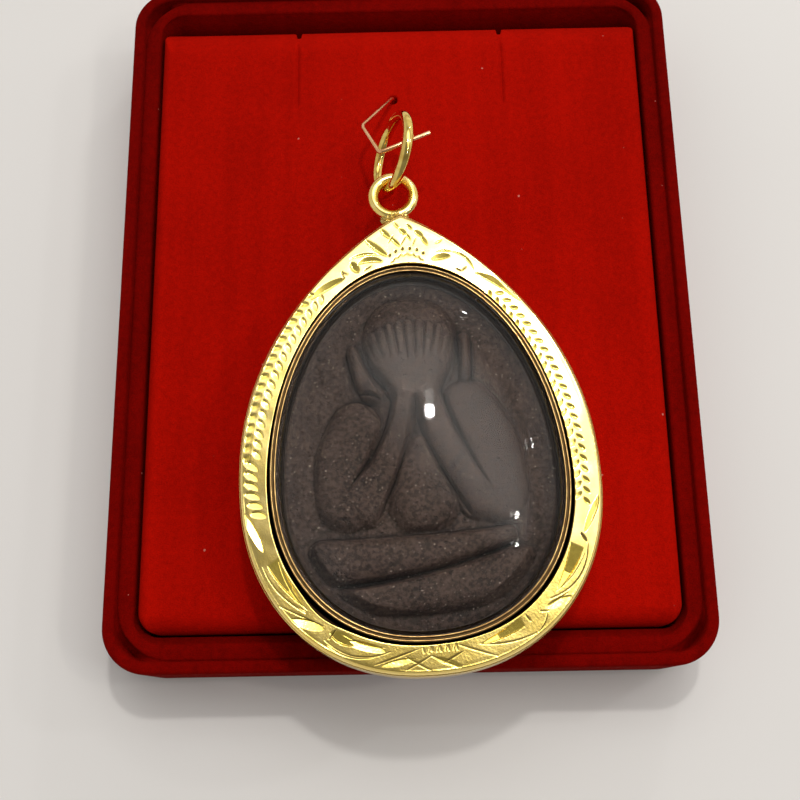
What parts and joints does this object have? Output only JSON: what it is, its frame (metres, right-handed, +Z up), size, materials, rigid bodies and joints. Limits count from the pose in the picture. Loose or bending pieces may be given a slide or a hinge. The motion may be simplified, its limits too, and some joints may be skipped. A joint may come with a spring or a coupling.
{
  "type": "amulet pendant on a velvet display tray",
  "caption": "Egg-shaped gold case with a domed clear cover over a dark relief amulet, on a jump ring and a wire hook, lying on a velvet display tray.",
  "frame": {"origin": "middle of the tray's underside", "axes": "+X to the right of the pendant as it is seen from above, +Y towards the tray's back, where the hook and the jump ring are, +Z up"},
  "size_m": [0.0584, 0.0755, 0.0216],
  "materials": {
    "tray_velvet": "red flock over moulded plastic",
    "pad_velvet": "red flock over foam",
    "hook_wire": "bright bent wire",
    "ring_gold": "polished gold",
    "case_gold": "bright-cut polished gold",
    "bezel_gold": "polished gold",
    "clear_cover": "clear polished acrylic",
    "amulet_body": "dark pressed powder, rubbed smooth on its high points"
  },
  "bodies": {
    "root": {"tray": "tray_velvet", "pad": "pad_velvet", "hook": "hook_wire", "jump_ring": "ring_gold", "case": "case_gold", "bezel": "bezel_gold", "cover": "clear_cover", "amulet": "amulet_body"}
  },
  "joints": []
}
